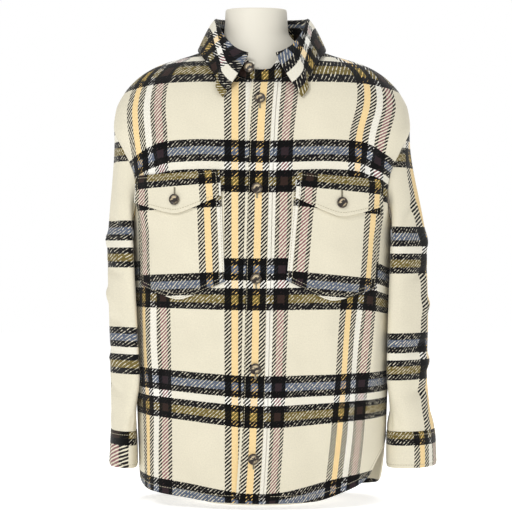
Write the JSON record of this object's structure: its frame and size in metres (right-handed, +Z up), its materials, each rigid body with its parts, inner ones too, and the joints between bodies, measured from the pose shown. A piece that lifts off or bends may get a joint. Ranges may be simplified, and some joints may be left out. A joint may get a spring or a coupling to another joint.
{
  "type": "plaid shirt jacket on limbless dress form",
  "caption": "Heavy brushed plaid shirt jacket, buttoned, with a turned-down collar, flapped chest pockets and a curved hem, hanging filled out on a limbless dress form.",
  "frame": {"origin": "on the dress form's flat base, below the middle of the jacket's body", "axes": "+Z up, the jacket's front faces -Y, +X is the viewer's right"},
  "size_m": [0.5435, 0.2602, 0.8085],
  "materials": {
    "plaid_twill": "heavy brushed two-by-two twill in a cream, black, blue-grey, pink and yellow plaid",
    "horn_button": "polished tortoise with a pale middle",
    "form_ivory": "smooth ivory covering"
  },
  "bodies": {
    "root": {"back": "plaid_twill", "front_left": "plaid_twill", "front_right": "plaid_twill", "front_placket": "plaid_twill", "sleeve_left": "plaid_twill", "sleeve_right": "plaid_twill", "cuff_left": "plaid_twill", "cuff_right": "plaid_twill", "collar_stand": "plaid_twill", "collar_leaf": "plaid_twill", "pocket_left": "plaid_twill", "pocket_right": "plaid_twill", "flap_left": "plaid_twill", "flap_right": "plaid_twill", "button_front_1": "horn_button", "button_front_2": "horn_button", "button_front_3": "horn_button", "button_front_4": "horn_button", "button_front_5": "horn_button", "button_stand": "horn_button", "button_flap_left": "horn_button", "button_flap_right": "horn_button", "dress_form": "form_ivory"}
  },
  "joints": []
}
